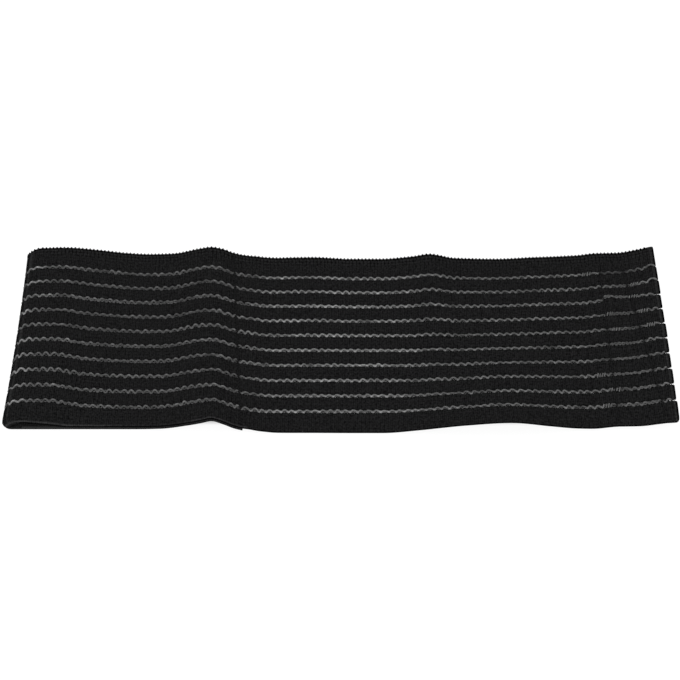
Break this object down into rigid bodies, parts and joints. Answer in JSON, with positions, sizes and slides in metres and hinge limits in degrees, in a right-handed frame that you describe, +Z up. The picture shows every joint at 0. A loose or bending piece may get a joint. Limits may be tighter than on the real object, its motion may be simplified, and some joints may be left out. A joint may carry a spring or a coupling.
{
  "type": "wrist compression wrap",
  "caption": "Black rib-knit elastic strip folded and sewn into a flat wrist loop, with a wrap-around tail and a hook patch under its free end, lying flat.",
  "frame": {"origin": "on the surface that the wrap lies on, under the middle of its bounding box", "axes": "+X along the wrap from the folded loop to the free end, +Y across it to the back edge, +Z up"},
  "size_m": [0.238, 0.077, 0.0084],
  "materials": {
    "elastic_knit": "matte black rib knit, fine cross courses, slightly fuzzy",
    "stripe_yarn": "thin translucent grey yarn in zigzag, in the openwork stripes",
    "sewing_thread": "matte black polyester thread",
    "hook_tape": "black nylon hook tape, dull"
  },
  "bodies": {
    "root": {"elastic_band": "elastic_knit", "hook_patch": "hook_tape"}
  },
  "joints": []
}
